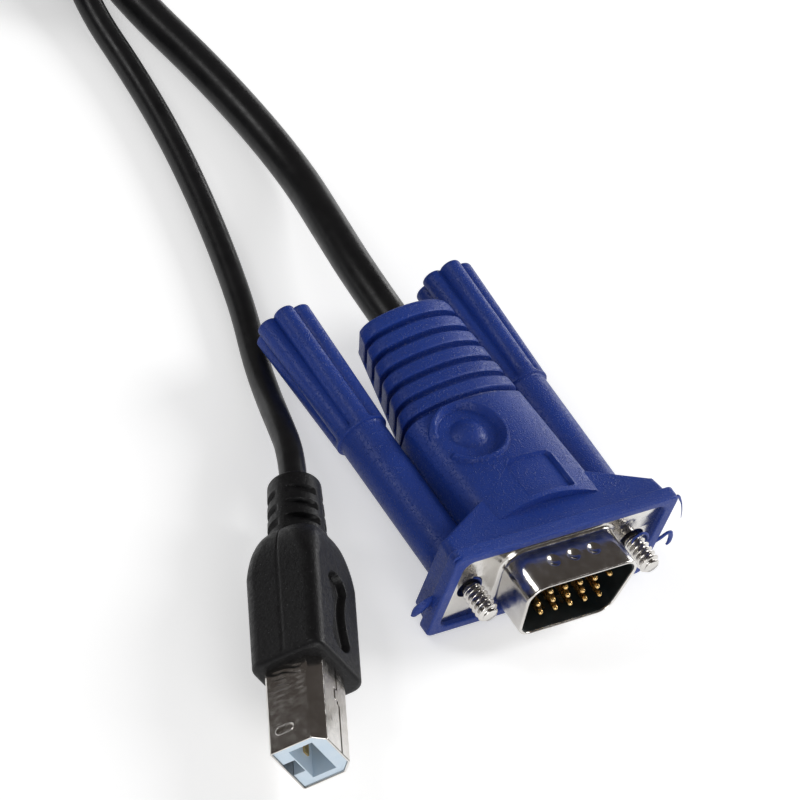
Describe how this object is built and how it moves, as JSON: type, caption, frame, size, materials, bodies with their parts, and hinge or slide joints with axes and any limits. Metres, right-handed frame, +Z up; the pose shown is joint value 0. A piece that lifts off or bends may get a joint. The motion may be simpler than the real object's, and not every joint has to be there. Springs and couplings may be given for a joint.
{
  "type": "switch cable",
  "caption": "Two-cord switch cable: blue screw-lock video plugs on the thick cord, a square and a bar data plug on the thin cord, spare length coiled and tied.",
  "frame": {"origin": "on the floor under the middle of the near video plug", "axes": "+Y from the near video plug's mating face to its cord, +X to the right seen from above with +Y up the page, +Z up"},
  "size_m": [0.0817, 0.2394, 0.0183],
  "materials": {
    "blue_moulding": "fine moulded grain",
    "black_moulding": "fine moulded grain",
    "plated_steel": "bright nickel plate",
    "black_insulator": "plain",
    "pale_insulator": "plain",
    "gold_contact": "gold plate",
    "cord_jacket": "smooth, half gloss",
    "tie_band": "plain"
  },
  "bodies": {
    "cable": {"near_video_hood": "blue_moulding", "near_video_shell": "plated_steel", "near_video_insulator": "black_insulator", "near_video_pins": "gold_contact", "far_video_hood": "blue_moulding", "far_video_shell": "plated_steel", "far_video_insulator": "black_insulator", "far_video_pins": "gold_contact", "square_plug_grip": "black_moulding", "square_plug_shell": "plated_steel", "square_plug_insulator": "pale_insulator", "square_plug_contacts": "gold_contact", "bar_plug_grip": "black_moulding", "bar_plug_shell": "plated_steel", "bar_plug_insulator": "pale_insulator", "bar_plug_contacts": "gold_contact", "cord_coil": "cord_jacket", "near_video_cord": "cord_jacket", "near_data_cord": "cord_jacket", "far_video_cord": "cord_jacket", "far_data_cord": "cord_jacket", "near_coil_tie": "tie_band", "far_coil_tie": "tie_band"},
    "near_left_thumbscrew": {"near_left_knob": "blue_moulding", "near_left_screw": "plated_steel"},
    "near_right_thumbscrew": {"near_right_knob": "blue_moulding", "near_right_screw": "plated_steel"},
    "far_left_thumbscrew": {"far_left_knob": "blue_moulding", "far_left_screw": "plated_steel"},
    "far_right_thumbscrew": {"far_right_knob": "blue_moulding", "far_right_screw": "plated_steel"}
  },
  "joints": [
    {"name": "near_left_turn", "type": "hinge", "parent": "cable", "child": "near_left_thumbscrew", "pos_m": [-0.01249, -0.01912, 0.0074], "axis": [0, -1, 0], "continuous": true},
    {"name": "near_right_turn", "type": "hinge", "parent": "cable", "child": "near_right_thumbscrew", "pos_m": [0.01249, -0.01912, 0.0074], "axis": [0, -1, 0], "continuous": true},
    {"name": "far_left_turn", "type": "hinge", "parent": "cable", "child": "far_left_thumbscrew", "pos_m": [-0.0585, 0.19739, 0.0074], "axis": [-1, 0, 0], "continuous": true},
    {"name": "far_right_turn", "type": "hinge", "parent": "cable", "child": "far_right_thumbscrew", "pos_m": [-0.0585, 0.17241, 0.0074], "axis": [-1, 0, 0], "continuous": true}
  ]
}
